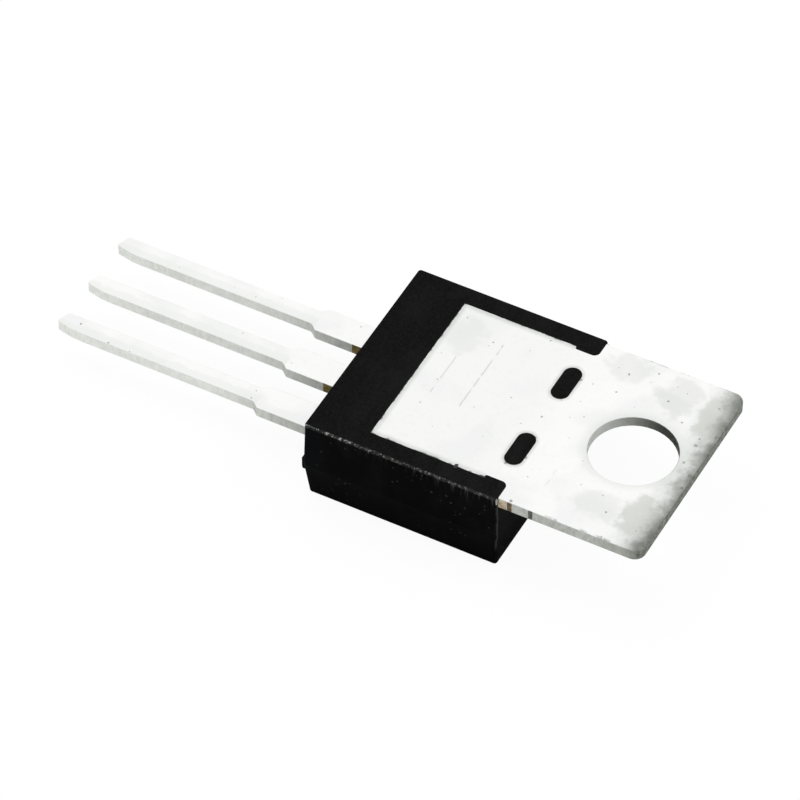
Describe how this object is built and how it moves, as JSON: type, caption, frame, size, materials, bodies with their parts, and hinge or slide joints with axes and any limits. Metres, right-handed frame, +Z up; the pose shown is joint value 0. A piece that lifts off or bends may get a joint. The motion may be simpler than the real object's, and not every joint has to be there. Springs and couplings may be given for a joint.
{
  "type": "triac",
  "caption": "Triac in a black moulded package with flat tinned leads and a thin bare metal mounting tab with a screw hole.",
  "frame": {"origin": "bottom centre of the whole part, under the moulding's front face", "axes": "+X from the lead tips to the end of the tab, +Z up out of the bare metal back, Y across the leads"},
  "size_m": [0.0284, 0.0102, 0.0043],
  "materials": {
    "epoxy_moulding": "matt black moulded epoxy, a little worn at its edges",
    "tinned_copper": "matt tin plate on copper, softly mottled, tarnished at the tab's end",
    "solder": "dull grey solder",
    "silicon": "polished dark grey silicon",
    "aluminium_wire": "bright drawn wire"
  },
  "bodies": {
    "root": {"moulded_body": "epoxy_moulding", "tab_and_centre_lead": "tinned_copper", "mt1_lead": "tinned_copper", "gate_lead": "tinned_copper", "die_attach_solder": "solder", "triac_die": "silicon", "mt1_wire_1": "aluminium_wire", "mt1_wire_2": "aluminium_wire", "gate_wire": "aluminium_wire"}
  },
  "joints": []
}
